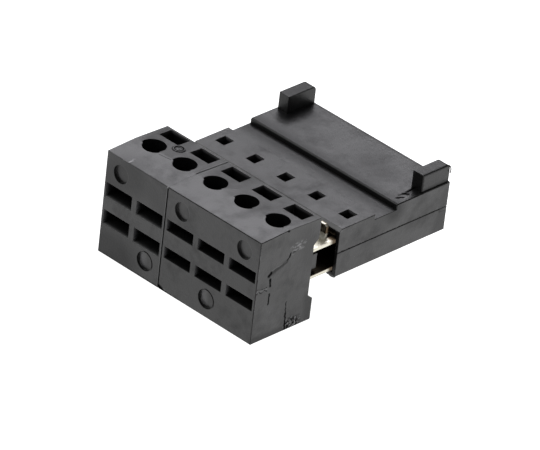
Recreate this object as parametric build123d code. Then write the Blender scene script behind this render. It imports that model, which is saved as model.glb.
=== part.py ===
from build123d import *
import os

# Five-way insulation displacement socket for a 5 mm header, shown with its wire caps in the open position.
# X runs across the poles, +Y points out of the mating face and +Z up. Y = 0 is the mating face and Z = 0 is
# the plane of the header pins, where the two housing shells part. All sizes are in millimetres.

# Poles
pitch = 5.0
pole_count = 5
first_cap_pole_count = 2

# Contact strip
sheet = 0.45
blade_width = 3.66
neck_width = 2.8
neck_taper = 0.42
neck_lead = 0.02
fork_height = 1.8
slit_width = 0.9
slit_reserve = 1.2
tine_chamfer = 0.45
slit_lead = 0.35
tab_width = 2.0
tab_rise = 1.76
tab_stand_off = 1.35
tab_bend = 0.5
tab_chamfer = 0.3
tab_window_spare = 0.3
web_length = 6.0
web_set_back = 2.2
web_bend = 0.45
pin_side = 1.0
pin_grip = 0.1
throat_set_back = 3.4
flare_set_back = 1.7
flare_rise = 0.55
leaf_start = 8.6
leaf_taper = 0.5

# Housing shells
housing_length = 18.1
chamber_clearance = 0.1
end_wall = 0.43
mating_wall = 1.2
mouth_depth = 1.5
mouth_rise = 0.62
mouth_wall = 0.55
mouth_radius = 0.3
band_length = 5.75
valley_wall = 0.525
plate_step = 0.7
plate_length = 8.75
floor_wall = 1.15
front_chamfer = 0.4
shell_edge = 0.15
parting_groove = 0.08
pin_clearance = 0.25
pin_lead = 0.3
key_length = 1.3
key_width = 1.2
key_drop = 0.42
probe_hole_x = 1.45
probe_hole_y = 1.65
probe_hole_set_back = 3.22

# Lugs on the rear plate
lug_length = 4.55
lug_thickness = 1.7
lug_rise = 2.25
lug_inset = 0.22
lug_corner = 0.55
lug_edge = 0.15

# Wire caps
open_gap = 3.95
cap_depth = 9.6
cap_end_wall = 0.35
cap_joint_gap = 0.015
joint_relief_width = 0.07
joint_relief_depth = 0.3
cap_bottom = 6.95
cap_front_top = 6.43
front_slope_rise = 0.2
ridge_set_back = 4.4
cap_edge = 0.12
recess_depth = 0.73
stop_gap = 0.05
lip_clearance = 0.52
lip_chamfer = 0.59
foot_clearance = 0.49
foot_chamfer = 0.46
slot_side_clearance = 0.2625
slot_face_clearance = 0.495
slot_drop = 0.1
slot_bevel_height = 0.45
slot_bevel_depth = 0.8
wire_hole_radius = 1.5
wire_hole_set_back = 4.93
wire_hole_floor = 1.3
wire_hole_drift = 0.2
fork_tip_clearance = 0.47
test_slot_x = 3.03
test_slot_y = 1.93
test_slot_set_back = 7.32
tab_channel_clearance = 0.25
nose_length = 2.0
nose_clearance = 0.1
nose_radius = 0.2
nose_skin = 0.1
mark_radius = 1.15
mark_depth = 0.35
upper_mark_height = 4.4
lower_mark_height = 4.65

# Places that follow from the sizes above
blade_out = fork_height + sheet / 2
blade_in = fork_height - sheet / 2
chamber_width = neck_width + 2 * chamber_clearance
pole_span = (pole_count - 1) * pitch
housing_half = pole_span / 2 + chamber_width / 2 + end_wall
housing_front = -housing_length
mouth_ceiling = blade_out + mouth_rise
band_top = mouth_ceiling + mouth_wall
valley_top = blade_out + valley_wall
plate_top = valley_top + plate_step
housing_bottom = -(blade_out + floor_wall)
pin_hole = pin_side + 2 * pin_clearance

cap_rear = housing_front - open_gap
cap_front = cap_rear - cap_depth
recess_plane = cap_rear - recess_depth
cap_travel = open_gap + recess_depth - stop_gap
slot_width = blade_width + 2 * slot_side_clearance
slot_height = sheet + 2 * slot_face_clearance
cap_end = pole_span / 2 + slot_width / 2 + cap_end_wall
lip_bottom = band_top + lip_clearance
foot_top = housing_bottom - foot_clearance - foot_chamfer
wire_hole_y = cap_front + wire_hole_set_back
ridge_line = cap_front + ridge_set_back
ridge_top = cap_front_top + front_slope_rise
tip_gap = wire_hole_radius + fork_tip_clearance
fork_tip = wire_hole_y + tip_gap
slit_length = cap_travel - tip_gap + slit_reserve
tab_front = housing_front - tab_stand_off
tab_top = blade_out + tab_rise
throat_half = (pin_side - pin_grip) / 2
match_margin = sheet / 100


def pole_x(index):
    return (index - (pole_count - 1) / 2) * pitch


def block(x_range, y_range, z_range):
    size = [high - low for low, high in (x_range, y_range, z_range)]
    middle = [(high + low) / 2 for low, high in (x_range, y_range, z_range)]
    return Pos(*middle) * Box(*size)


def side_prism(points, x_range):
    """A prism along X from an outline of (y, z) points."""
    outline = make_face(Polyline(*points, close=True))
    return extrude(Plane.YZ.offset(x_range[0]) * outline, x_range[1] - x_range[0])


def plan_prism(points, z_range):
    """A prism along Z from an outline of (x, y) points."""
    outline = make_face(Polyline(*points, close=True))
    return extrude(Plane.XY.offset(z_range[0]) * outline, z_range[1] - z_range[0])


def at_x(shape, x):
    return Pos(x, 0, 0) * shape


# Contact: one strip cut, slit and folded. A side web joins the two arms. Both arms end in a fork at the wire
# side and in a spring leaf at the header side, and a test tab stands up from the upper arm.

def fork_plan():
    """Outline of one arm seen from above, from the tines back to the end of the straight beam."""
    half = blade_width / 2
    neck = neck_width / 2
    slit = slit_width / 2
    taper_end = housing_front - neck_lead
    slit_end = fork_tip + slit_length
    side = [
        (slit, slit_end),
        (slit, fork_tip + slit_lead),
        (slit + slit_lead, fork_tip),
        (half - tine_chamfer, fork_tip),
        (half, fork_tip + tine_chamfer),
        (half, taper_end - neck_taper),
        (neck, taper_end),
        (neck, -leaf_start),
    ]
    mirrored = [(-x, y) for x, y in reversed(side)]
    return side + mirrored


def upper_arm():
    beam = plan_prism(fork_plan(), (blade_in, blade_out))
    slit_round = Pos(0, fork_tip + slit_length, fork_height) * Cylinder(slit_width / 2, sheet)
    return beam - slit_round


def spring_leaf():
    """Upper spring leaf: it falls from the beam to the pin throat and flares up at the mating side."""
    half = neck_width / 2
    throat = throat_half
    flare = throat + flare_rise
    lower_line = [(-leaf_start, blade_in), (-throat_set_back, throat), (-flare_set_back, flare)]
    upper_line = [(y, z + sheet) for y, z in reversed(lower_line)]
    leaf = side_prism(lower_line + upper_line, (-half, half))
    sides = plan_prism(
        [
            (-half, -leaf_start),
            (half, -leaf_start),
            (half - leaf_taper, -flare_set_back),
            (-half + leaf_taper, -flare_set_back),
        ],
        (0, blade_out),
    )
    return leaf & sides


def side_web():
    half = neck_width / 2
    y_range = (housing_front + web_set_back, housing_front + web_set_back + web_length)
    outer = block((-half, half), y_range, (-blade_out, blade_out))
    outer = fillet(outer.edges().filter_by(Axis.Y).group_by(Axis.X)[0], web_bend)
    inner = block((-half + sheet, half), y_range, (-blade_in, blade_in))
    keep = block((-half, -half + 2 * web_bend), y_range, (-blade_out, blade_out))
    return (outer - inner) & keep, y_range


def folded_edge(y_range):
    """What the fold takes off the square outer corners of the two arms beside the web."""
    half = neck_width / 2
    square = block((-half, -half + web_bend), y_range, (-blade_out, blade_out))
    rounded = block((-half, half), y_range, (-blade_out, blade_out))
    rounded = fillet(rounded.edges().filter_by(Axis.Y).group_by(Axis.X)[0], web_bend)
    return square - rounded


def test_tab():
    """Tongue cut from the upper arm behind its fold and bent up through a quarter turn."""
    half = tab_width / 2
    centre_y = tab_front - tab_bend
    centre_z = blade_out + tab_bend
    ring = Pos(0, centre_y, centre_z) * Rot(0, 90, 0) * Cylinder(tab_bend + sheet, tab_width)
    ring -= Pos(0, centre_y, centre_z) * Rot(0, 90, 0) * Cylinder(tab_bend, tab_width)
    reach = tab_bend + sheet
    quarter = block((-half, half), (centre_y, centre_y + reach), (centre_z - reach, centre_z))
    plate = block((-half, half), (tab_front, tab_front + sheet), (centre_z, tab_top))
    plate = chamfer(plate.edges().filter_by(Axis.Y).group_by(Axis.Z)[-1], tab_chamfer)
    return (ring & quarter) + plate


def tab_window():
    half = tab_width / 2
    fold = tab_front - tab_bend
    tongue = tab_rise + sheet + tab_window_spare
    return block((-half, half), (fold, fold + tongue), (blade_in - sheet, blade_out + sheet))


def contact():
    arm = upper_arm()
    leaf = spring_leaf()
    lower = mirror(arm + leaf, Plane.XY)
    upper = (arm + leaf) - tab_window()
    web, y_range = side_web()
    strip = upper + lower + web
    return strip - folded_edge(y_range) + test_tab()


# Housing: two shells that part on the plane of the pins and close on the five contacts.

def chamber(floor, ceiling):
    """Space for one contact, between two heights, open at the wire side."""
    half = chamber_width / 2
    return block((-half, half), (housing_front - sheet, -mating_wall), (floor, ceiling))


def mouth(floor, ceiling):
    """Taller wire-side end of a chamber, with rounded corners."""
    half = chamber_width / 2
    space = block((-half, half), (housing_front - sheet, housing_front + mouth_depth), (floor, ceiling))
    far = space.edges().filter_by(Axis.Y)
    corners = far.group_by(Axis.Z)[-1] if ceiling > 0 else far.group_by(Axis.Z)[0]
    return fillet(corners, mouth_radius)


def pin_entry():
    """Square hole in the mating wall, with a lead-in all round."""
    hole = block((-pin_hole / 2, pin_hole / 2), (-mating_wall - sheet, sheet), (-pin_hole / 2, pin_hole / 2))
    wide = pin_hole + 2 * pin_lead
    outer = Plane.XZ * Rectangle(wide, wide)
    inner = Plane.XZ.offset(pin_lead) * Rectangle(pin_hole, pin_hole)
    return hole + loft([outer.faces()[0], inner.faces()[0]])


def rear_keys():
    """The two small steps of the parting line at the mating end."""
    keys = []
    for side in (-1, 1):
        x_range = sorted((side * housing_half, side * (housing_half - key_width)))
        keys.append(block(x_range, (-key_length, 0), (-key_drop, 0)))
    return keys


def grooved(shell):
    """Breaks the outer edge at the parting plane, which shows as the line between the shells."""
    flat = shell.edges().filter_by_position(Axis.Z, -match_margin, match_margin)
    sides = [edge for edge in flat if abs(abs(edge.center().X) - housing_half) < match_margin]
    return chamfer(sides, parting_groove)


def lug(side):
    """Upright lug on a rear corner of the plate."""
    outer = housing_half - lug_inset
    x_range = sorted((side * outer, side * (outer - lug_thickness)))
    body = block(x_range, (-lug_length, 0), (plate_top - lug_edge, plate_top + lug_rise))
    rear_top = body.edges().filter_by(Axis.X).group_by(Axis.Z)[-1].sort_by(Axis.Y)[-1]
    body = fillet(rear_top, lug_corner)
    rest = body.edges().filter_by(Axis.Z) + body.edges().filter_by(Axis.Y).group_by(Axis.Z)[-1]
    return fillet(rest, lug_edge)


def top_edge_at(shell, y):
    """The highest edge along X at one place along Y."""
    along = shell.edges().filter_by(Axis.X)
    return along.filter_by_position(Axis.Y, y - match_margin, y + match_margin).sort_by(Axis.Z)[-1]


def upper_shell():
    plate_front = -plate_length
    band_rear = housing_front + band_length
    outline = [
        (housing_front, 0),
        (housing_front, band_top),
        (band_rear, band_top),
        (band_rear, valley_top),
        (plate_front, valley_top),
        (plate_front, plate_top),
        (0, plate_top),
        (0, 0),
    ]
    shell = side_prism(outline, (-housing_half, housing_half))
    shell = chamfer(top_edge_at(shell, housing_front), front_chamfer)
    shell = fillet(top_edge_at(shell, plate_front), 2 * shell_edge)
    ends = shell.edges().filter_by(Axis.Y).group_by(Axis.Z)[-1]
    shell = fillet(ends, shell_edge)
    shell = grooved(shell)
    for side in (-1, 1):
        shell += lug(side)
    for key in rear_keys():
        shell += key
    hole_y = housing_front + probe_hole_set_back
    for index in range(pole_count):
        x = pole_x(index)
        shell -= at_x(chamber(-sheet - key_drop, blade_out), x)
        shell -= at_x(mouth(-sheet - key_drop, mouth_ceiling), x)
        shell -= at_x(pin_entry(), x)
        probe = block(
            (x - probe_hole_x / 2, x + probe_hole_x / 2),
            (hole_y - probe_hole_y / 2, hole_y + probe_hole_y / 2),
            (0, band_top + sheet),
        )
        shell -= probe
    return shell


def lower_shell():
    outline = [(housing_front, 0), (0, 0), (0, housing_bottom), (housing_front, housing_bottom)]
    shell = side_prism(outline, (-housing_half, housing_half))
    under = [edge for edge in shell.edges() if edge.center().Z < housing_bottom + match_margin]
    shell = fillet(under, shell_edge)
    shell = grooved(shell)
    for key in rear_keys():
        shell -= key
    for index in range(pole_count):
        x = pole_x(index)
        shell -= at_x(chamber(-blade_out, sheet), x)
        shell -= at_x(mouth(-mouth_ceiling, sheet), x)
        shell -= at_x(pin_entry(), x)
    return shell


# Wire caps: blocks that are pressed rearwards over the forks once the wires are in their round holes.

def cap_block(x_range):
    """Solid block of a cap: its top slopes up to a low ridge across the wire holes and falls behind it."""
    outline = [
        (cap_front, -cap_bottom),
        (cap_rear, -cap_bottom),
        (cap_rear, foot_top),
        (recess_plane, foot_top + foot_chamfer),
        (recess_plane, lip_bottom - lip_chamfer),
        (cap_rear, lip_bottom),
        (cap_rear, cap_front_top),
        (ridge_line, ridge_top),
        (cap_front, cap_front_top),
    ]
    body = side_prism(outline, x_range)
    along = body.edges().filter_by(Axis.X)
    outer = [edge for edge in along if abs(edge.center().Z) > lip_bottom]
    rounded = [edge for edge in outer if abs(edge.center().Y - ridge_line) > match_margin]
    upright = body.edges().filter_by(Axis.Z).group_by(Axis.Y)[0]
    return fillet(rounded + list(upright), cap_edge)


def joint_relief(x):
    """Shallow steps on the first cap's front and on its top behind the ridge, beside the joint of the caps."""
    x_range = (x - joint_relief_width, x + sheet)
    low = cap_front_top - joint_relief_depth
    top = block(x_range, (ridge_line, cap_rear + sheet), (low, ridge_top + sheet))
    front = block(x_range, (cap_front - sheet, cap_front + joint_relief_depth), (-cap_bottom - sheet, low))
    return top + front


def wire_slot(height, bevelled):
    """Front slot that a fork blade slides in, with an eased lower lip on the two-pole cap."""
    half = slot_width / 2
    low = height - slot_height / 2
    slot = block((-half, half), (cap_front - sheet, recess_plane + sheet), (low, height + slot_height / 2))
    if not bevelled:
        return slot
    lip = [
        (cap_front - sheet, low + sheet),
        (cap_front - sheet, low - slot_bevel_height),
        (cap_front, low - slot_bevel_height),
        (cap_front + slot_bevel_depth, low),
        (cap_front + slot_bevel_depth, low + sheet),
    ]
    return slot + side_prism(lip, (-half, half))


def guide_nose():
    """Plastic nose between the two forks of a pole; it enters the housing mouth when the cap closes."""
    half = chamber_width / 2 - nose_clearance
    high = fork_height - slot_drop - slot_height / 2 - nose_skin
    low = -fork_height - slot_drop + slot_height / 2 + nose_skin
    nose = block((-half, half), (recess_plane - sheet, recess_plane + nose_length), (low, high))
    return fillet(nose.edges().filter_by(Axis.Z).group_by(Axis.Y)[-1], nose_radius)


def wire_hole():
    """Round hole for one wire. In front of the ridge another core forms it, and sits a little to the side."""
    floor = -cap_bottom + wire_hole_floor
    top = ridge_top + sheet
    bore = Pos(0, wire_hole_y, (floor + top) / 2) * Cylinder(wire_hole_radius, top - floor)
    reach = wire_hole_radius + wire_hole_drift
    rear_half = block((-reach, reach), (ridge_line, wire_hole_y + reach), (floor, top))
    front_half = block((-reach, reach), (wire_hole_y - reach, ridge_line), (floor, top))
    return (bore & rear_half) + (at_x(bore, wire_hole_drift) & front_half)


def test_slot():
    """Probe slot in the cap's top, and the channel that lets the test tab slide in from the rear."""
    y = cap_front + test_slot_set_back
    slot_top = fork_height - slot_drop
    opening = block((-test_slot_x / 2, test_slot_x / 2), (y, y + test_slot_y), (slot_top, ridge_top + sheet))
    half = tab_width / 2 + tab_channel_clearance
    channel_top = tab_top + tab_channel_clearance
    channel = block((-half, half), (y + test_slot_y / 2, cap_rear + sheet), (slot_top, channel_top))
    return opening + channel


def ejector_mark(height):
    return Pos(0, cap_front, height) * Rot(90, 0, 0) * Cylinder(mark_radius, 2 * mark_depth)


def wire_cap(first, last, marks, bevelled):
    """A cap over the poles from first to last; marks maps a pole to its ejector mark's height."""
    left = -cap_end if first == 0 else pole_x(first) - pitch / 2 + cap_joint_gap / 2
    right = cap_end if last == pole_count - 1 else pole_x(last) + pitch / 2 - cap_joint_gap / 2
    cap = cap_block((left, right))
    if first == 0:
        cap -= joint_relief(right)
    for index in range(first, last + 1):
        x = pole_x(index)
        cap += at_x(guide_nose(), x)
        for height in (fork_height - slot_drop, -fork_height - slot_drop):
            cap -= at_x(wire_slot(height, bevelled), x)
        cap -= at_x(wire_hole(), x)
        cap -= at_x(test_slot(), x)
        if index in marks:
            cap -= at_x(ejector_mark(marks[index]), x)
    return cap


def save(shape, name):
    solids = shape.solids()
    export_step(solids[0] if len(solids) == 1 else Compound(solids), f"parts/{name}.step")
    box = shape.bounding_box()
    print(name, "solids", len(solids), "volume", round(shape.volume, 2), "from", box.min, "to", box.max)


os.makedirs("parts", exist_ok=True)
last_pole = pole_count - 1
split = first_cap_pole_count
save(upper_shell(), "body_upper_shell")
save(lower_shell(), "body_lower_shell")
save(wire_cap(0, split - 1, {0: upper_mark_height, 1: -lower_mark_height}, True), "wire_cap_two_pole")
three_marks = {split: upper_mark_height, split + 1: -lower_mark_height, last_pole: upper_mark_height}
save(wire_cap(split, last_pole, three_marks, False), "wire_cap_three_pole")
for number in range(pole_count):
    save(at_x(contact(), pole_x(number)), f"contact_{number + 1}")
print("cap travel", round(cap_travel, 3))
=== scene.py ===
import math
import bpy
from mathutils import Matrix, Vector


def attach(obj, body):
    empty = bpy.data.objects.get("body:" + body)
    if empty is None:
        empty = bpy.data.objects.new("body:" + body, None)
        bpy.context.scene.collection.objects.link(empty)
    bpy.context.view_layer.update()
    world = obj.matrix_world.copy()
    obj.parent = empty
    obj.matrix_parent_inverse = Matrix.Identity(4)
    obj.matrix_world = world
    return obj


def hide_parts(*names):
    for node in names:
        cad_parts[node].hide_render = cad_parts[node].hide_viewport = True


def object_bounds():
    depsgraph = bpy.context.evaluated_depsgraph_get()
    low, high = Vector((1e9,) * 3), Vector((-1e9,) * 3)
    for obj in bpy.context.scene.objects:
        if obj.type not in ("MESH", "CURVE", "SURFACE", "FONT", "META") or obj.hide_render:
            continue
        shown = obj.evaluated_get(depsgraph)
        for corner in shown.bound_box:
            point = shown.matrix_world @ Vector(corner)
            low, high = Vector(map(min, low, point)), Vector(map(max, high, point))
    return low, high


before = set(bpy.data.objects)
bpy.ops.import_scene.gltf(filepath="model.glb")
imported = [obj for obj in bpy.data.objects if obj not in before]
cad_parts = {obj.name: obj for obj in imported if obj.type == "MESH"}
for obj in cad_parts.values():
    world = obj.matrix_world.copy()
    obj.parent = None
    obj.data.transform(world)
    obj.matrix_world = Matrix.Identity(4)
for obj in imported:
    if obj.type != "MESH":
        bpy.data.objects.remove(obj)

cad_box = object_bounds()


# Studio. The plug lies on a glowing white table in a dim tent, with one large softbox high behind it to
# the left and a weak one in front. Tops mirror the first, chamfers the second and walls the table.
class Field:
    """A value that varies over a surface. Arithmetic on it adds Math nodes to the material."""

    def __init__(self, tree, socket=None):
        self.tree = tree
        self.socket = socket

    def node(self, kind, settings, inputs, output=0):
        """Adds a node of any other kind and gives back one of its outputs."""
        node = self.tree.nodes.new(kind)
        for name, value in settings.items():
            setattr(node, name, value)
        for name, value in inputs.items():
            if isinstance(value, Field):
                self.tree.links.new(value.socket, node.inputs[name])
            else:
                node.inputs[name].default_value = value
        return Field(self.tree, node.outputs[output])

    def maths(self, operation, *values, clamp=False):
        settings = {"operation": operation, "use_clamp": clamp}
        return self.node("ShaderNodeMath", settings, dict(enumerate(values)))

    def into(self, shader, name):
        self.tree.links.new(self.socket, shader.inputs[name])

    def __add__(self, other):
        return self.maths("ADD", self, other)

    def __radd__(self, other):
        return self.maths("ADD", other, self)

    def __sub__(self, other):
        return self.maths("SUBTRACT", self, other)

    def __rsub__(self, other):
        return self.maths("SUBTRACT", other, self)

    def __mul__(self, other):
        return self.maths("MULTIPLY", self, other)


MM = 0.001


def start_material(name):
    """A new material, its shader and the place on the object in millimetres."""
    material = bpy.data.materials.new(name)
    material.use_nodes = True
    tree = material.node_tree
    shader = tree.nodes["Principled BSDF"]
    place = Field(tree).node("ShaderNodeTexCoord", {}, {}, "Object")
    place = place.node("ShaderNodeVectorMath", {"operation": "SCALE"}, {0: place, "Scale": 1 / MM})
    return material, shader, place


def axis(place, name):
    """One coordinate of a place, X, Y or Z."""
    return place.node("ShaderNodeSeparateXYZ", {}, {0: place}, name)


def add_softbox(name, power, size, colour, place, target):
    data = bpy.data.lights.new(name, "AREA")
    data.shape = "SQUARE"
    data.size = size
    data.energy = power
    data.color = colour
    softbox = bpy.data.objects.new(name, data)
    bpy.context.collection.objects.link(softbox)
    softbox.location = place
    softbox.rotation_euler = (target - place).to_track_quat("-Z", "Y").to_euler()


table_size = 4.0
table_gap = 0.00002
table_grey = (0.5, 0.5, 0.5, 1)
table_roughness = 0.9
table_glow = 1.19
table_glow_rise = 0.0042
table_glow_range = (1.0, 1.4)
tent_glow = 0.35
plug_middle = Vector((0, -0.012, 0))

bpy.ops.object.select_all(action="DESELECT")
bpy.ops.mesh.primitive_plane_add(size=table_size, location=(0, 0, cad_box[0][2] - table_gap))
table = bpy.context.object
table.name = "studio_table"
table_paint, paper, place = start_material("glowing_table")
paper.inputs["Base Color"].default_value = table_grey
paper.inputs["Roughness"].default_value = table_roughness
paper.inputs["Emission Strength"].default_value = 1.0
glow = table_glow + (axis(place, "X") + axis(place, "Y")) * table_glow_rise
glow = glow.maths("MAXIMUM", glow, table_glow_range[0])
glow.maths("MINIMUM", glow, table_glow_range[1]).into(paper, "Emission Color")
table.data.materials.append(table_paint)

add_softbox("key_softbox", power=1.78, size=0.35, colour=(0.99, 0.98, 1.03),
            place=Vector((-0.27, 0.30, 0.46)), target=plug_middle)
add_softbox("fill_softbox", power=1.2, size=0.30, colour=(1.0, 1.0, 1.0),
            place=Vector((-0.40, -0.36, 0.45)), target=plug_middle)

tent = bpy.data.worlds.new("light_tent")
bpy.context.scene.world = tent
tent.use_nodes = True
tent.node_tree.nodes["Background"].inputs["Color"].default_value = (1, 1, 1, 1)
tent.node_tree.nodes["Background"].inputs["Strength"].default_value = tent_glow

# Camera. A long lens looks from the front right and above. The plug leans a little in the picture,
# because it was lying tipped back on the heel of its caps, so the camera is rolled to match.
view_azimuth = math.radians(41.588)
view_elevation = math.radians(30.747)
view_roll = math.radians(6.739)
view_distance = 709.86 * MM
view_point = Vector((0.544, -17.223, -2.145)) * MM
frame_width_px = 540
focal_px = 6201
sensor_mm = 36

forward = Vector((-math.sin(view_azimuth) * math.cos(view_elevation),
                  math.cos(view_azimuth) * math.cos(view_elevation),
                  -math.sin(view_elevation)))
level_right = forward.cross(Vector((0, 0, 1))).normalized()
right = Matrix.Rotation(-view_roll, 3, forward) @ level_right
up = right.cross(forward)
camera_data = bpy.data.cameras.new("camera")
camera_data.sensor_width = sensor_mm
camera_data.lens = focal_px / frame_width_px * sensor_mm
camera_data.clip_start = 0.01
camera = bpy.data.objects.new("camera", camera_data)
bpy.context.collection.objects.link(camera)
axes = Matrix((right, up, -forward)).transposed().to_4x4()
camera.matrix_world = Matrix.Translation(view_point - forward * view_distance) @ axes
bpy.context.scene.camera = camera
bpy.context.scene.view_settings.view_transform = "Standard"


# Housing shells. Two mouldings of glass-filled black polyester that part on the plane of the pins and clip
# together over the contacts. The skin is satin, clouded where the melt flowed, and darker on the lugs,
# whose fronts carry painted shade.
plastic_black = (0.0036, 0.0036, 0.0038, 1)
plastic_pale = (0.30, 0.30, 0.31, 1)
plastic_hollow = (0.002, 0.002, 0.002, 1)
plastic_roughness = 0.36


def noise(place, scale, detail=2.0, roughness=0.5, stretch=(1, 1, 1)):
    """Noise about 0, from -0.5 to 0.5, with its grains a given number to the millimetre."""
    pulled = place.node("ShaderNodeMapping", {}, {"Vector": place, "Scale": stretch})
    inputs = {"Vector": pulled, "Scale": scale, "Detail": detail, "Roughness": roughness}
    return place.node("ShaderNodeTexNoise", {}, inputs, "Fac") - 0.5


def wander(place, reach, scale):
    """The place pushed about a little, which makes lines drawn from it ragged."""
    inputs = {"Vector": place, "Scale": scale, "Detail": 2.0}
    push = place.node("ShaderNodeTexNoise", {}, inputs, "Color")
    push = place.node("ShaderNodeVectorMath", {"operation": "SUBTRACT"}, {0: push, 1: (0.5, 0.5, 0.5)})
    push = place.node("ShaderNodeVectorMath", {"operation": "SCALE"}, {0: push, "Scale": 2 * reach})
    return place.node("ShaderNodeVectorMath", {"operation": "ADD"}, {0: place, 1: push})


def strongest(masks):
    """The largest of several masks, each taken in as soon as it is made."""
    masks = iter(masks)
    result = next(masks)
    for mask in masks:
        result = mask.maths("MAXIMUM", result, mask)
    return result


def on_line(place, start, end, half_width):
    """1 on the straight line between two points, falling to 0 at its sides."""
    along = Vector(end) - Vector(start)
    offset = place.node("ShaderNodeVectorMath", {"operation": "SUBTRACT"}, {0: place, 1: start})
    dot = place.node("ShaderNodeVectorMath", {"operation": "DOT_PRODUCT"}, {0: offset, 1: along}, "Value")
    share = place.maths("MULTIPLY", dot, 1 / along.length_squared, clamp=True)
    foot = place.node("ShaderNodeVectorMath", {"operation": "SCALE"}, {0: along, "Scale": share})
    away = place.node("ShaderNodeVectorMath", {"operation": "DISTANCE"}, {0: offset, 1: foot}, "Value")
    return place.maths("MULTIPLY_ADD", away, -1 / half_width, 1.5, clamp=True)


def on_lines(place, lines):
    """The strongest of several lines, each given as its strength, its half width and its points."""
    return strongest(on_line(place, start, end, half_width) * strength
                     for strength, half_width, points in lines
                     for start, end in zip(points, points[1:]))


def inside(place, low, high):
    """1 inside a box between two corners, 0 outside it."""
    mask = 1.0
    for name, bottom, top in zip("XYZ", low, high):
        value = axis(place, name)
        mask = place.maths("GREATER_THAN", value, bottom) * mask
        mask = place.maths("LESS_THAN", value, top) * mask
    return mask


def fading(place, name, start, end):
    """1 at one coordinate, falling to 0 at another, along one axis."""
    value = axis(place, name)
    return place.maths("MULTIPLY_ADD", value, 1 / (start - end), -end / (start - end), clamp=True)


def black_plastic(name, marks):
    """The plastic with the marks of one moulding: dark cracks, seams and painted shade, dull skin, pale
    scuffs and painted light.
    """
    material, shader, place = start_material(name)
    clouds = noise(place, 0.24, 3, 0.55, (1.0, 0.6, 1.0))
    patches = noise(place, 0.8, 4, 0.6)
    grain = noise(place, 5.0, 2)
    dark, pale = marks(place, wander(place, 0.05, 2.0), wander(place, 0.16, 3.2))
    dull = place.maths("MULTIPLY_ADD", clouds + patches * 0.6, 0.9, 0.04, clamp=True)
    roughness = plastic_roughness + clouds * 0.12 + patches * 0.10
    height = grain * 0.3 + patches * 0.7
    bump = place.node("ShaderNodeBump", {}, {"Strength": 0.4, "Distance": 0.0001, "Height": height})
    settings = {"data_type": "RGBA", "clamp_factor": True}
    colour = place.node("ShaderNodeMix", settings, {"Factor": pale, 6: plastic_black, 7: plastic_pale}, 2)
    colour.into(shader, "Base Color")
    roughness.into(shader, "Roughness")
    bump.into(shader, "Normal")
    skin = Field(material.node_tree, shader.outputs["BSDF"])
    hollow = place.node("ShaderNodeBsdfDiffuse", {}, {"Color": plastic_hollow})
    blend = place.node("ShaderNodeMixShader", {}, {0: strongest([dark, dull]), 1: skin, 2: hollow})
    blend.into(material.node_tree.nodes["Material Output"], "Surface")
    return material


def run_modifier(piece, kind, **settings):
    """Puts a modifier on a piece and applies it."""
    modifier = piece.modifiers.new(kind.lower(), kind)
    for name, value in settings.items():
        setattr(modifier, name, value)
    bpy.ops.object.modifier_apply(modifier=modifier.name)


def rescale(piece, factor):
    piece.scale = (factor, factor, factor)
    bpy.ops.object.transform_apply(location=False, rotation=False, scale=True)


merge_distance = 0.002
flat_angle = math.radians(0.6)
sharp_angle = math.radians(32)


def merged_copy(node, name):
    """A copy of a node's mesh in millimetres, with its split corners merged and its flats whole."""
    bpy.ops.object.select_all(action="DESELECT")
    piece = bpy.data.objects.new(name, node.data.copy())
    bpy.context.collection.objects.link(piece)
    piece.select_set(True)
    bpy.context.view_layer.objects.active = piece
    rescale(piece, 1 / MM)
    bpy.ops.mesh.customdata_custom_splitnormals_clear()
    bpy.ops.object.mode_set(mode="EDIT")
    bpy.ops.mesh.select_all(action="SELECT")
    bpy.ops.mesh.mark_sharp(clear=True)
    bpy.ops.mesh.remove_doubles(threshold=merge_distance)
    bpy.ops.mesh.dissolve_limited(angle_limit=flat_angle)
    bpy.ops.object.mode_set(mode="OBJECT")
    return piece


def break_edges(piece, width, left_sharp=lambda start, end: False):
    """Rounds the sharp edges of a piece in millimetres, apart from those that a test on their ends names.

    An edge shorter than the rounding stays as it is, because rounding it would fold the face beside it.
    """
    bpy.ops.object.mode_set(mode="EDIT")
    bpy.ops.mesh.select_mode(type="EDGE")
    bpy.ops.mesh.select_all(action="DESELECT")
    bpy.ops.mesh.edges_select_sharp(sharpness=sharp_angle)
    bpy.ops.object.mode_set(mode="OBJECT")
    mesh = piece.data
    weights = mesh.attributes.new("bevel_weight_edge", "FLOAT", "EDGE")
    for edge in mesh.edges:
        start, end = (mesh.vertices[i].co for i in edge.vertices)
        rounded = edge.select and (end - start).length > width and not left_sharp(start, end)
        weights.data[edge.index].value = 1.0 if rounded else 0.0
    run_modifier(piece, "BEVEL", width=width, segments=2, limit_method="WEIGHT", use_clamp_overlap=False)


def finish_piece(piece, body, paint, nodes):
    """Back to metres, smooth, painted, and riding on its body in place of its nodes."""
    rescale(piece, MM)
    bpy.ops.object.shade_smooth_by_angle(angle=sharp_angle)
    run_modifier(piece, "WEIGHTED_NORMAL", keep_sharp=True)
    piece.data.materials.clear()
    piece.data.materials.append(paint)
    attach(piece, body)
    if nodes:
        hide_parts(*nodes)


def box_of(name):
    """The low and the high corner of a node, in millimetres."""
    corners = [Vector(corner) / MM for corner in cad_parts[name].bound_box]
    return Vector(map(min, *corners)), Vector(map(max, *corners))


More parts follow.
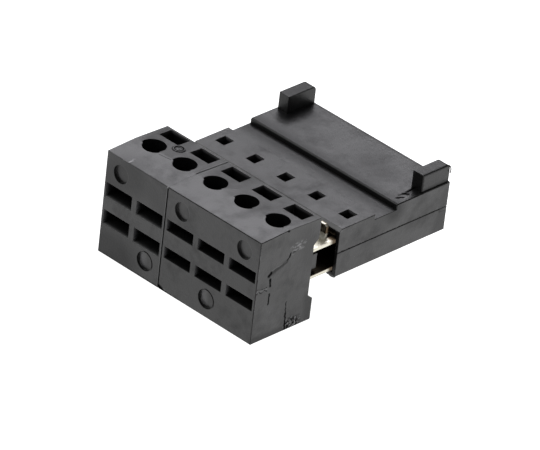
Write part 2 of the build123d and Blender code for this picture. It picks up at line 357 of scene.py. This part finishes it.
housing_low, housing_high = box_of("body_upper_shell")
housing_front = housing_low.y
side = housing_high.x
band_rear, plate_front = -12.35, -8.75
band_top, valley_top, plate_top = 3.195, 2.55, 3.25
lug_side, lug_front, lug_top = 11.71, -4.55, housing_high.z
# Dark lines painted along the side's top edges, its front edge and the rear edge of the plate.
dark_edge_lines = [
    (0.8, 0.05, [(side, housing_front, band_top - 0.06), (side, band_rear, band_top - 0.06)]),
    (0.8, 0.05, [(side, band_rear, valley_top - 0.05), (side, plate_front, valley_top - 0.05)]),
    (0.9, 0.06, [(side, plate_front, plate_top - 0.06), (side, lug_front, plate_top - 0.06)]),
    (0.6, 0.05, [(side, housing_front, 2.8), (side, housing_front, -3.0)]),
    (0.5, 0.06, [(-10.0, -0.25, plate_top), (9.5, -0.25, plate_top)]),
]
parting_line = [
    (0.85, 0.07, [(side, housing_front, 0.03), (side, -6.0, 0.04)]),
    (0.6, 0.06, [(side, -6.0, 0.04), (side, -1.3, 0.1)]),
]
chips_by_lug = [
    (1.0, 0.20, [(10.82, -7.80, plate_top), (11.03, -7.40, plate_top)]),
    (1.0, 0.16, [(11.03, -7.40, plate_top), (11.22, -7.05, plate_top)]),
    (0.9, 0.10, [(10.55, -7.15, plate_top), (10.60, -6.75, plate_top)]),
    (1.0, 0.26, [(10.66, -6.50, plate_top), (10.80, -6.2, plate_top), (10.98, -6.1, plate_top)]),
    (1.0, 0.18, [(10.61, -5.81, plate_top), (10.55, -5.25, plate_top), (10.47, -4.67, plate_top)]),
]
light_by_chips = [
    (0.16, 0.07, [(10.24, -6.40, plate_top), (10.50, -6.0, plate_top)]),
    (0.14, 0.09, [(11.50, -7.23, plate_top), (11.39, -6.37, plate_top), (11.08, -5.54, plate_top)]),
    (0.10, 0.5, [(9.6, -6.3, plate_top), (10.0, -5.4, plate_top)]),
]
# Painted shade in the valley at the foot of the plate's step and on the right lug's front; darker patches
# elsewhere.
shade_and_dark_patches = [
    (0.40, 1.5, [(-side, plate_front - 0.3, valley_top), (side, plate_front - 0.3, valley_top)]),
    (0.18, 1.5, [(2.9, -4.5, plate_top), (6.2, -4.9, plate_top)]),
    (0.15, 1.2, [(-9.0, -4.5, plate_top), (-7.5, -3.2, plate_top)]),
    (0.60, 0.30, [(lug_side, lug_front, 3.3), (lug_side, lug_front, lug_top), (lug_side, -0.1, lug_top)]),
    (0.40, 0.35, [(lug_side, -0.1, lug_top), (lug_side, -0.1, 3.5), (lug_side, lug_front, 3.4)]),
    (0.25, 1.2, [(side, -1.0, -2.6), (side, -0.2, 1.5)]),
    (0.5, 0.8, [(10.9, lug_front, 3.7), (10.9, lug_front, 4.8)]),
]
light_skin = [
    (0.08, 0.25, [(lug_side - 1.55, lug_front, lug_top), (lug_side - 1.55, -0.1, lug_top)]),
    (0.05, 1.1, [(8.2, -6.6, plate_top), (8.3, -5.0, plate_top)]),
    (0.03, 1.5, [(-5.0, -2.6, plate_top), (-1.0, -3.4, plate_top)]),
    (0.35, 0.03, [(side, -15.25, -1.28), (side, -15.0, -1.4)]),
]
left_lug = ((-12.0, -4.7, plate_top), (-9.9, 0.1, 5.6))
right_lug = ((9.9, -4.7, plate_top), (12.0, 0.1, 5.6))
probe_hole_walls = ((-11.5, -15.9, 2.2), (11.5, -14.2, 3.16))
probe_hole_rears = ((-11.5, -14.15, 2.2), (11.5, -14.0, 3.15))
front_chamfer = ((-12.0, -18.2, 2.78), (12.0, -17.66, 3.21))


def housing_marks(place, wavy, torn):
    dark = [
        on_lines(wavy, dark_edge_lines),
        on_lines(torn, parting_line + chips_by_lug),
        on_lines(torn, shade_and_dark_patches),
        # The lugs painted darker all over.
        inside(place, *left_lug) * 0.34,
        inside(place, *right_lug) * 0.27,
    ]
    # Painted light on the walls and rear walls of the probe holes, fading downwards, and on the front
    # chamfer.
    walls = fading(place, "Z", plate_top, 2.3)
    rears = fading(place, "Z", plate_top - 0.05, 2.7)
    pale = [
        inside(place, *probe_hole_rears) * rears * 0.45,
        inside(place, *front_chamfer) * 0.11,
        on_lines(torn, light_skin),
        on_lines(wavy, light_by_chips),
        inside(place, *probe_hole_walls) * walls * walls * 0.12,
    ]
    return strongest(dark), strongest(pale)


def behind_lug(start, end):
    """Whether an edge is the short one left at the rear between a lug and the side of the plate."""
    return all(abs(p.x) > 11.5 and p.y > -0.01 and abs(p.z - plate_top) < 0.01 for p in (start, end))


housing_plastic = black_plastic("housing_plastic", housing_marks)
shell_edge = 0.05
for name in ("body_upper_shell", "body_lower_shell"):
    piece = merged_copy(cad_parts[name], name + "_moulding")
    break_edges(piece, shell_edge, behind_lug)
    finish_piece(piece, "housing", housing_plastic, [name])

# Wire caps. Two blocks of the same black plastic, one over two poles and one over three, that carry the
# wires in round holes and are pressed rearwards over the forks. They show knocks, cracks and pin marks.
three_pole_low, three_pole_high = box_of("wire_cap_three_pole")
two_pole_low, two_pole_high = box_of("wire_cap_two_pole")
cap_front = three_pole_low.y
cap_rear = cap_front + 9.6
cap_side = three_pole_high.x
cap_low = two_pole_low.z
cap_top = 6.43
ridge_y = cap_front + 4.4
joint_x = (two_pole_high.x + three_pole_low.x) / 2
pitch, pole_count = 5.0, 5
poles_half = 12.2
slot_half = 2.0925
slot_tops = (2.42, -1.18)
probe_front, probe_rear = 7.25, 9.2
probe_low, probe_high = 5.0, 6.42
pin_mark_radius = 1.17
pin_mark_depth = 0.35


def on_cap_side(points):
    """Points of the right side, given as distances behind the front and heights."""
    return [(cap_side, cap_front + back, height) for back, height in points]


def on_ring(place, centre, radius, half_width):
    """1 on a circle about a point, falling to 0 at its sides."""
    away = place.node("ShaderNodeVectorMath", {"operation": "DISTANCE"}, {0: place, 1: centre}, "Value")
    off = away.maths("ABSOLUTE", away - radius)
    return place.maths("MULTIPLY_ADD", off, -1 / half_width, 1.5, clamp=True)


def across_pole(place):
    """How far a place lies to the right of the middle of its pole."""
    along = axis(place, "X") + pitch * pole_count / 2
    return along.maths("MODULO", along, pitch) - pitch / 2


def over_poles(place, front, rear, low, high):
    """1 over the width of all poles between two distances behind the caps' front and two heights."""
    return inside(place, (-poles_half, cap_front + front, low), (poles_half, cap_front + rear, high))


def slot_light(place):
    """Painted light in the slots: on walls, mouths and edges in front, and on walls of those in the top.
    """
    off = across_pole(place) + slot_half
    left_wall = place.maths("LESS_THAN", off.maths("ABSOLUTE", off), 0.05)
    over_slot = place.maths("LESS_THAN", off.maths("ABSOLUTE", off - slot_half), slot_half)
    depth = fading(place, "Y", cap_front, cap_front + 0.85)
    rows = over_poles(place, 0.04, 1.2, -3.2, 2.9)
    mouths = fading(place, "Y", cap_front, cap_front + 0.4)
    brows = strongest(over_poles(place, -0.1, 0.05, top, top + 0.07) for top in slot_tops)
    lips = strongest(over_poles(place, 0.02, 0.4, top - 1.9, top - 1.5) for top in slot_tops)
    lips = lips * place.maths("LESS_THAN", axis(place, "X"), joint_x)
    drop = fading(place, "Z", 6.5, 5.6)
    probe = over_poles(place, probe_front, probe_rear, probe_low, probe_high)
    rears = over_poles(place, probe_rear + 0.01, probe_rear + 0.1, probe_low, probe_high)
    return [
        left_wall * rows * depth * depth * 0.30,
        rows * mouths * 0.05,
        brows * over_slot * 0.08,
        lips * fading(place, "Y", cap_front, cap_front + 0.3) * over_slot * 0.22,
        probe * drop * drop * 0.14,
        rears * fading(place, "Z", 6.45, 6.0) * 0.36,
    ]


def pin_marks(place, upper, lower):
    """The ejector pins' prints, as painted shade and painted light.

    The upper prints have a faint painted highlight round their right edge. The lower ones have a wall in
    painted shade that fades towards the bottom, painted shade on the rim at the upper right and painted
    light on the left of the floor.
    """
    dark, pale = [], []
    for x, height in upper:
        right_half = fading(place, "X", x + 0.9, x)
        pale.append(on_ring(place, (x, cap_front, height), pin_mark_radius, 0.05) * right_half * 0.06)
    for x, height in lower:
        wall = on_ring(place, (x, cap_front + 0.1, height), pin_mark_radius - 0.04, 0.09)
        outer = fading(place, "Y", cap_front + 0.05, cap_front + 0.25)
        dark.append(wall * outer * fading(place, "Z", height - 0.6, height - 1.6) * 0.9)
        rim = on_ring(place, (x, cap_front, height), pin_mark_radius + 0.06, 0.12)
        upper_right = fading(place, "Z", height - 0.1, height - 0.8) * fading(place, "X", x, x - 0.5)
        dark.append(rim * upper_right)
        floor_y = cap_front + pin_mark_depth
        low_corner = (x - 1.0, floor_y - 0.05, height - 1.0)
        floor = inside(place, low_corner, (x + 1.0, floor_y + 0.05, height + 1.0))
        pale.append(floor * fading(place, "X", x - 1.0, x + 0.2) * 0.25)
    return dark, pale


two_pole_dark = [
    (0.8, 0.05, [(-8.2, cap_front + 3.98, 6.6), (-6.5, cap_front + 4.25, 6.62)]),
    # Painted shade in the joint between the caps.
    (1.0, 0.08, [(joint_x, cap_front, 6.2), (joint_x, cap_front, cap_low)]),
    (0.9, 0.06, [(-cap_side, cap_front, cap_low), (joint_x, cap_front, cap_low)]),
]
two_pole_pale = [
    (0.35, 0.05, [(-9.9, cap_front + 0.05, cap_top), (-9.1, cap_front + 0.12, cap_top)]),
    (0.9, 0.09, [(-9.09, cap_front + 0.16, cap_top), (-9.05, cap_front + 0.7, cap_top)]),
    (0.7, 0.07, [(-9.25, cap_front + 0.9, cap_top), (-9.12, cap_front + 1.25, cap_top)]),
    (0.6, 0.10, [(joint_x - 0.08, cap_front, 6.35), (joint_x - 0.08, cap_front + 0.05, 6.4)]),
    (0.15, 0.04, [(joint_x - 0.15, cap_front, 6.0), (joint_x - 0.15, cap_front, -6.8)]),
    (0.12, 0.06, [(joint_x - 0.22, ridge_y + 0.1, 6.62), (joint_x - 0.22, cap_rear - 0.1, 6.45)]),
]
# Painted shade: the front of the two-pole cap darker towards its left end and along its foot.
front_shade = [
    (0.34, 3.2, [(-12.4, cap_front, -6.2), (-9.5, cap_front, -6.2)]),
    (0.22, 2.2, [(-12.4, cap_front, 2.8), (-8.0, cap_front, 5.0)]),
    (0.12, 1.5, [(-5.0, cap_front, 4.6), (-3.5, cap_front, 3.6)]),
    (0.50, 0.12, [(-cap_side, cap_front, -6.8), (cap_side, cap_front, -6.8)]),
]
crack_and_shadow = [
    (1.0, 0.22, on_cap_side([(1.86, 1.50), (2.22, 1.78)])),
    (0.32, 0.08, on_cap_side([(2.28, 1.82), (3.78, 2.3), (4.6, 2.65)])),
    # Painted shadow: the soft wide band below the middle of the crack.
    (0.5, 0.24, on_cap_side([(2.28, 1.70), (3.78, 2.15), (4.6, 2.5)])),
    (0.95, 0.11, on_cap_side([(4.6, 2.65), (4.93, 2.9), (5.11, 3.36)])),
    (0.5, 0.09, on_cap_side([(5.11, 3.3), (5.9, 3.4)])),
    (1.0, 0.15, on_cap_side([(2.13, 1.0), (2.25, 0.05)])),
    (1.0, 0.12, on_cap_side([(2.27, -1.0), (2.24, -2.31)])),
    (0.9, 0.05, on_cap_side([(0.23, 0.21), (1.74, 0.07)])),
    (0.8, 0.06, on_cap_side([(0.10, -0.35), (0.5, -0.1), (0.9, -0.45), (1.3, -0.15), (1.81, -0.45)])),
    (0.95, 0.08, on_cap_side([(5.27, -3.17), (5.33, -4.6)])),
    (1.0, 0.13, on_cap_side([(5.33, -4.6), (5.4, -5.8), (5.5, -6.9)])),
]
# Dark lines painted along the cap's edges and foot; the one down the joint is painted shade between the
# caps.
three_pole_edges = [
    (0.8, 0.07, on_cap_side([(0.0, 6.2), (0.0, -6.9)])),
    (0.9, 0.06, on_cap_side([(0.1, 6.4), (4.3, 6.6)])),
    (1.0, 0.14, on_cap_side([(4.3, 6.55), (4.4, 6.5)])),
    (0.5, 0.04, on_cap_side([(4.9, 6.57), (9.5, 6.4)])),
    (0.8, 0.05, [(joint_x, cap_front, cap_top - 0.05), (cap_side, cap_front, cap_top - 0.05)]),
    (1.0, 0.08, [(joint_x, cap_front, 6.2), (joint_x, cap_front, cap_low)]),
    (0.8, 0.05, [(joint_x, cap_front, cap_low), (cap_side, cap_front, cap_low)]),
    (1.0, 0.25, [(-2.35, cap_front, -6.6), (-1.9, cap_front, -6.75)]),
    (0.9, 0.14, [(-1.9, cap_front, -6.8), (-1.0, cap_front, -6.9), (0.8, cap_front, -6.93)]),
]
# Darker patches on the right side: low at the rear, along the foot and high towards the rear.
side_dark_patches = [
    (0.25, 0.8, on_cap_side([(9.0, -3.6), (9.2, -6.6)])),
    (0.30, 0.5, on_cap_side([(0.3, -6.6), (5.0, -6.7)])),
    (0.14, 1.4, on_cap_side([(7.6, 4.6), (8.6, 1.5)])),
]
three_pole_pale = [
    (0.14, 0.06, on_cap_side([(2.2, 2.05), (4.4, 2.5), (4.75, 2.95)])),
    (0.3, 0.04, on_cap_side([(9.57, 3.2), (9.57, -1.0)])),
    (0.12, 0.15, on_cap_side([(0.2, -0.1), (1.7, -0.15)])),
    (0.06, 1.7, on_cap_side([(2.2, -4.2), (3.2, -5.4)])),
    (0.20, 0.05, on_cap_side([(0.06, 6.0), (0.06, 4.2)])),
    (0.16, 0.05, on_cap_side([(0.06, 3.1), (0.06, 1.6)])),
    (0.16, 0.05, on_cap_side([(0.06, -0.6), (0.06, -2.6)])),
    (0.25, 0.05, [(-1.6, cap_front, -6.55), (-1.3, cap_front, -6.65)]),
]
scuffed_patch = [
    (1.0, 0.72, on_cap_side([(6.2, -6.25), (7.2, -6.35)])),
    (1.0, 0.4, on_cap_side([(5.6, -6.2), (5.75, -6.9)])),
]
chipped_top = [(1.0, 0.5, on_cap_side([(5.4, 3.65), (6.1, 3.85), (6.9, 3.95)]))]
mark_place = Vector((-7.76, cap_front + 6.80, 6.545))


def front_slope(place):
    """1 on the top in front of the ridge, which is given a little painted light."""
    return inside(place, (-13, cap_front + 0.1, 6.38), (13, ridge_y, 7))


def two_pole_marks(place, wavy, torn):
    dark_rings, pale_rings = pin_marks(wavy, [(-10.0, 4.4)], [(-5.0, -4.65)])
    low_side = fading(place, "Y", mark_place.y + 0.2, mark_place.y + 0.7)
    dark = [
        on_lines(wavy, two_pole_dark),
        on_lines(torn, front_shade),
        # Painted shade between the mark's rings and outside its outer ring on the low side.
        on_ring(wavy, mark_place, 0.52, 0.06) * 0.9,
        on_ring(wavy, mark_place, 0.80, 0.06) * low_side * 0.8,
    ]
    pale = [
        on_lines(wavy, two_pole_pale),
        # Painted light on the top in front of the ridge.
        front_slope(place) * 0.035,
        # Painted highlights on the mark's outer ring and boss.
        on_ring(wavy, mark_place, 0.67, 0.05) * 0.15,
        on_ring(wavy, mark_place, 0.2, 0.15) * 0.3,
    ]
    return strongest(dark + dark_rings), strongest(pale + pale_rings + slot_light(place))


def three_pole_marks(place, wavy, torn):
    dark_rings, pale_rings = pin_marks(wavy, [(0.0, 4.4), (10.0, 4.4)], [(5.0, -4.65)])
    scuffed = on_lines(torn, scuffed_patch)
    chipped = on_lines(torn, chipped_top)
    pits = place.maths("MULTIPLY_ADD", noise(place, 3.6, 2, 0.6), 9.0, 0.75, clamp=True)
    specks = noise(place, 3.4, 2, 0.6, (1.0, 0.6, 1.0))
    flecks = place.maths("MULTIPLY_ADD", specks, 6.0, 0.1, clamp=True)
    dark = [
        on_lines(torn, crack_and_shadow),
        on_lines(wavy, three_pole_edges),
        on_lines(torn, side_dark_patches),
        scuffed * pits,
    ]
    pale = [
        on_lines(torn, three_pole_pale),
        # Painted light on the top in front of the ridge.
        front_slope(place) * 0.035,
        strongest([scuffed, chipped]) * flecks * 0.6,
    ]
    return strongest(dark + dark_rings), strongest(pale + pale_rings + slot_light(place))


cap_edge = 0.06
blade_plane = cap_front + 8.87


def left_sharp_on_cap(start, end):
    """Whether an edge lies beside the joint on the front slope or on the rim of a blade pocket.

    The caps meet without a line on the slope, and a pocket's ledge is too narrow for two roundings.
    """
    middle = (start + end) / 2
    by_joint = abs(middle.x - joint_x) < 0.2 and middle.z > 6.3 and middle.y < ridge_y + 0.1
    by_pocket = abs(middle.y - blade_plane) < 0.01 and -1.3 < middle.z < 1.2
    return by_joint or by_pocket


for count, marks in (("three_pole", three_pole_marks), ("two_pole", two_pole_marks)):
    name = "wire_cap_" + count
    cap_plastic = black_plastic(count + "_plastic", marks)
    piece = merged_copy(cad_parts[name], name + "_moulding")
    break_edges(piece, cap_edge, left_sharp_on_cap)
    finish_piece(piece, count + "_cap", cap_plastic, [name])

# Moulding mark. The ringed print of an ejector pin that stands out of the top of the two-pole cap, left
# by the mould in the same plastic: an outer ring, a second one inside it and a small boss in the middle.
mark_rings = ((0.67, 0.09), (0.36, 0.07))
boss_radius = 0.16
boss_shape = (1.2, 0.9, 0.5)
bpy.ops.object.select_all(action="DESELECT")
bpy.ops.mesh.primitive_uv_sphere_add(segments=20, ring_count=12, radius=boss_radius, location=mark_place)
mark = bpy.context.object
mark.name = "cap_moulding_mark"
bpy.ops.transform.resize(value=boss_shape)
for ring_radius, wire_radius in mark_rings:
    bpy.ops.mesh.primitive_torus_add(major_radius=ring_radius, minor_radius=wire_radius, major_segments=40,
                                     minor_segments=10, location=mark_place)
    mark.select_set(True)
    bpy.context.view_layer.objects.active = mark
    bpy.ops.object.join()
bpy.ops.object.transform_apply(location=True, rotation=True, scale=True)
finish_piece(mark, "two_pole_cap", cap_plastic, [])

# Contacts. Five forks of tin-plated copper alloy strip, blanked and folded, that stand out of the housing
# and cut through the insulation. The faces are satin tin, and the cut edges of the test tab are tarnished
# and painted dark for the dark reflection they show. The tin by the housing and on the lower blades is in
# painted shade.
tin_bright = (0.66, 0.64, 0.55, 1)
tin_dull = (0.45, 0.43, 0.36, 1)
tin_tarnish_and_shade = (0.07, 0.05, 0.03, 1)
tin_roughness = 0.34
tab_half, tab_foot, tab_front = 1.0, 2.65, -19.45
tab_low, tab_high = 2.04, 3.62
contacts_half = 12


def tin_plate(name):
    """Satin tin with streaks, tarnished on the front and cut edges of the tab, with painted reflection on
    the cut edges and painted shade by the housing and on the lower blades.
    """
    material, shader, place = start_material(name)
    clouds = noise(place, 0.9, 3)
    streaks = noise(place, 2.2, 2, 0.5, (3.0, 0.4, 1.0))
    settings = {"data_type": "RGBA", "clamp_factor": True}
    mix = place.maths("MULTIPLY_ADD", clouds + streaks, 1.2, 0.5, clamp=True)
    colour = place.node("ShaderNodeMix", settings, {"Factor": mix, 6: tin_bright, 7: tin_dull}, 2)
    left_end, right_end = -contacts_half, contacts_half
    off = across_pole(place)
    # The cut edges of the tab: tarnished bare metal, made darker also as painted reflection.
    cut = place.maths("GREATER_THAN", off.maths("ABSOLUTE", off), tab_half - 0.035)
    above_foot = inside(place, (left_end, tab_front - 0.1, tab_foot), (right_end, tab_front + 0.6, 5))
    front_low = (left_end, tab_front - 0.1, tab_foot + 0.05)
    front = inside(place, front_low, (right_end, tab_front + 0.06, tab_high))
    spots = noise(place, 3.0, 2, 0.5, (1.6, 1.0, 0.5))
    blotches = place.maths("MULTIPLY_ADD", spots, 3.0, 0.75, clamp=True)
    # Painted shade on the tin near and inside the housing's mouth and on the lower blades under the upper
    # ones.
    by_housing = fading(place, "Y", housing_front - 0.85, housing_front - 1.4)
    foot = inside(place, (left_end, tab_front - 0.5, tab_low), (right_end, tab_front + 0.3, tab_foot))
    below = inside(place, (left_end, -24, -1.64), (right_end, housing_front, -1.5))
    tarnish_and_shade = strongest([cut * above_foot, front * blotches, by_housing, below * 0.9])
    colour = place.node("ShaderNodeMix", settings, {"Factor": tarnish_and_shade, 6: colour, 7: tin_tarnish_and_shade}, 2)
    colour.into(shader, "Base Color")
    (tin_roughness + streaks * 0.12 + clouds * 0.12).into(shader, "Roughness")
    (1.0 - foot * 0.8).into(shader, "Metallic")
    bump = {"Strength": 0.4, "Distance": 0.00005, "Height": streaks}
    place.node("ShaderNodeBump", {}, bump).into(shader, "Normal")
    return material


def on_web(start, end):
    """Whether an edge is one of the web in the housing, whose bends run out to nothing."""
    return all(-16.0 < p.y < -9.8 for p in (start, end))


tin = tin_plate("tin_plate")
strip_edge = 0.03
for number in range(1, pole_count + 1):
    name = f"contact_{number}"
    piece = merged_copy(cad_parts[name], name + "_strip")
    break_edges(piece, strip_edge, on_web)
    finish_piece(piece, "housing", tin, [name])

# Flash. Thin plastic that was squeezed out where the mould halves met: a curl at the rear of the right
# lug and two torn crumbs below the housing's front right corner. It has the plastic of the shells.
curl_points = (
    (11.55, -0.8, 5.44),
    (11.70, -0.3, 5.58),
    (11.80, 0.0, 5.35),
    (11.84, 0.06, 4.85),
    (11.80, -0.06, 4.4),
)
curl_radius = 0.07
bpy.ops.object.select_all(action="DESELECT")
bpy.ops.curve.primitive_nurbs_path_add(location=(0, 0, 0))
curl = bpy.context.object
curl.name = "lug_flash"
for point, spot in zip(curl.data.splines[0].points, curl_points):
    point.co = (*spot, 1)
curl.data.bevel_depth = curl_radius
curl.data.bevel_resolution = 2
curl.data.use_fill_caps = True
bpy.ops.object.convert(target="MESH")
finish_piece(curl, "housing", housing_plastic, [])

crumbs = (((11.25, -17.84, -3.15), (0.62, 0.19, 0.33)), ((10.65, -17.86, -3.15), (0.30, 0.16, 0.24)))
crumb_unevenness = 0.04
for number, (spot, size) in enumerate(crumbs, 1):
    bpy.ops.object.select_all(action="DESELECT")
    bpy.ops.mesh.primitive_ico_sphere_add(subdivisions=3, radius=1.0, location=spot)
    crumb = bpy.context.object
    crumb.name = f"corner_flash_{number}"
    bpy.ops.transform.resize(value=size)
    bpy.ops.object.transform_apply(location=True, rotation=True, scale=True)
    bpy.ops.object.mode_set(mode="EDIT")
    bpy.ops.mesh.select_all(action="SELECT")
    bpy.ops.transform.vertex_random(offset=crumb_unevenness, seed=number)
    bpy.ops.object.mode_set(mode="OBJECT")
    finish_piece(crumb, "housing", housing_plastic, [])
